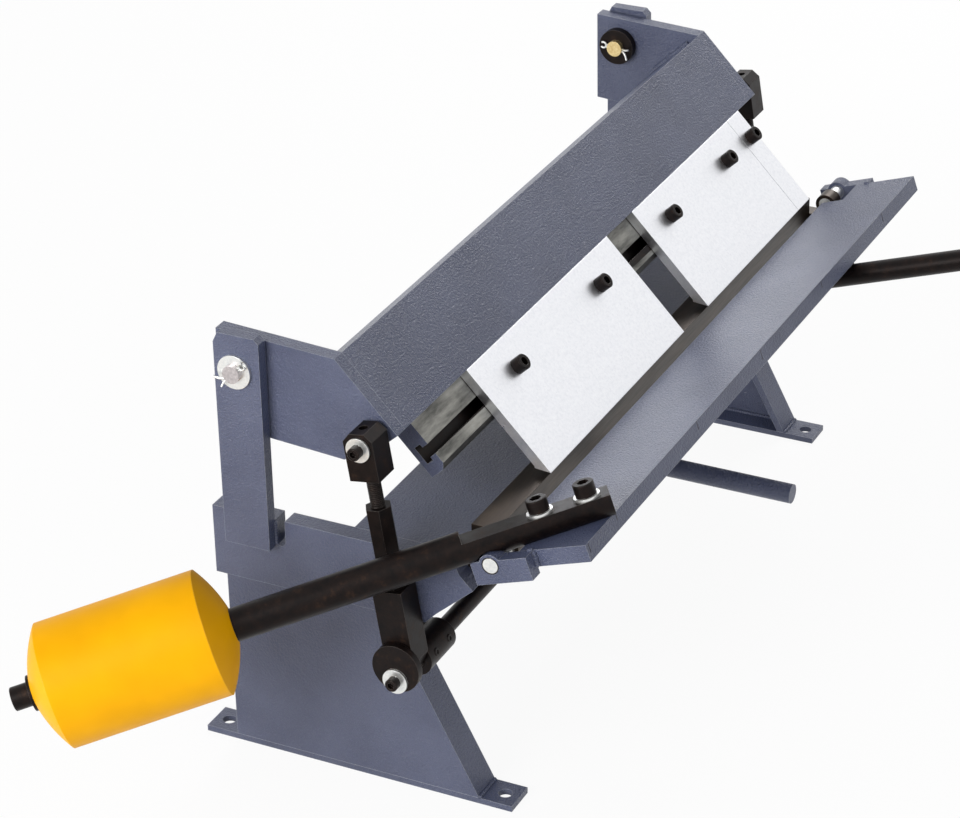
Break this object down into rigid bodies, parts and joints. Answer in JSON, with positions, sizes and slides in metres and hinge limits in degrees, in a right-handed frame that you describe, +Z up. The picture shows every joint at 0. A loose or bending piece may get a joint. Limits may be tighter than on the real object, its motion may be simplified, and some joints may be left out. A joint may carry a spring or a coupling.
{
  "type": "bench sheet metal brake",
  "caption": "Bench-top box-and-pan sheet metal brake: lever-clamped finger beam over a bed, with a hinged bending leaf and a counterweighted lever arm.",
  "frame": {"origin": "on the floor, midway between the two feet", "axes": "+X along the bend towards the machine's right end as its operator faces it, -Y towards the operator, +Z up"},
  "size_m": [0.9472, 0.4829, 0.374],
  "materials": {
    "enamel": "fine textured enamel",
    "bright_steel": "surface-ground, bright",
    "machined": "machined, oiled",
    "black_oxide": "black oxide, satin",
    "zinc": "zinc plated",
    "yellow_enamel": "gloss enamel"
  },
  "bodies": {
    "frame": {"left_foot": "enamel", "right_foot": "enamel", "left_stand": "enamel", "right_stand": "enamel", "left_side_plate": "enamel", "right_side_plate": "enamel", "left_hinge_block": "machined", "right_hinge_block": "machined", "left_post": "enamel", "right_post": "enamel", "left_shaft_bearing": "black_oxide", "right_shaft_bearing": "black_oxide", "left_pivot_pin": "zinc", "right_pivot_pin": "zinc", "bed": "enamel", "anvil_bar": "machined"},
    "clamp": {"clamp_beam": "enamel", "slot_bar": "machined", "left_arm": "enamel", "right_arm": "enamel", "wide_finger": "bright_steel", "medium_finger": "bright_steel", "narrow_finger": "bright_steel", "finger_screws": "black_oxide", "left_link_pin": "black_oxide", "right_link_pin": "black_oxide"},
    "links": {"left_link_head": "black_oxide", "right_link_head": "black_oxide", "left_link_rod": "black_oxide", "right_link_rod": "black_oxide", "left_link_foot": "black_oxide", "right_link_foot": "black_oxide"},
    "shaft": {"clamp_shaft": "black_oxide", "clamp_lever": "enamel", "left_eccentric": "black_oxide", "right_eccentric": "black_oxide"},
    "leaf": {"bending_leaf": "enamel", "left_ear": "enamel", "right_ear": "enamel", "left_hinge_pin": "zinc", "right_hinge_pin": "zinc", "lever": "black_oxide", "lever_screws": "black_oxide", "counterweight": "yellow_enamel", "leaf_handle": "black_oxide"}
  },
  "joints": [
    {"name": "leaf_hinge", "type": "hinge", "parent": "frame", "child": "leaf", "pos_m": [0, -0.13293, 0.23275], "axis": [-1, 0, 0], "range_deg": [-18.81, 81.19]},
    {"name": "shaft_turn", "type": "hinge", "parent": "frame", "child": "shaft", "pos_m": [0, -0.063, 0.1275], "axis": [1, 0, 0], "range_deg": [0, 31.9]},
    {"name": "clamp_pivot", "type": "hinge", "parent": "frame", "child": "clamp", "pos_m": [0, 0.072, 0.345], "axis": [1, 0, 0], "range_deg": [0, 1.37]},
    {"name": "link_swing", "type": "hinge", "parent": "clamp", "child": "links", "pos_m": [0, -0.036, 0.312], "axis": [1, 0, 0], "range_deg": [-3.38, 0]}
  ],
  "couplings": [
    {"joint": "clamp_pivot", "follows": "shaft_turn", "ratio": 0.04281},
    {"joint": "link_swing", "follows": "shaft_turn", "ratio": -0.1058}
  ]
}
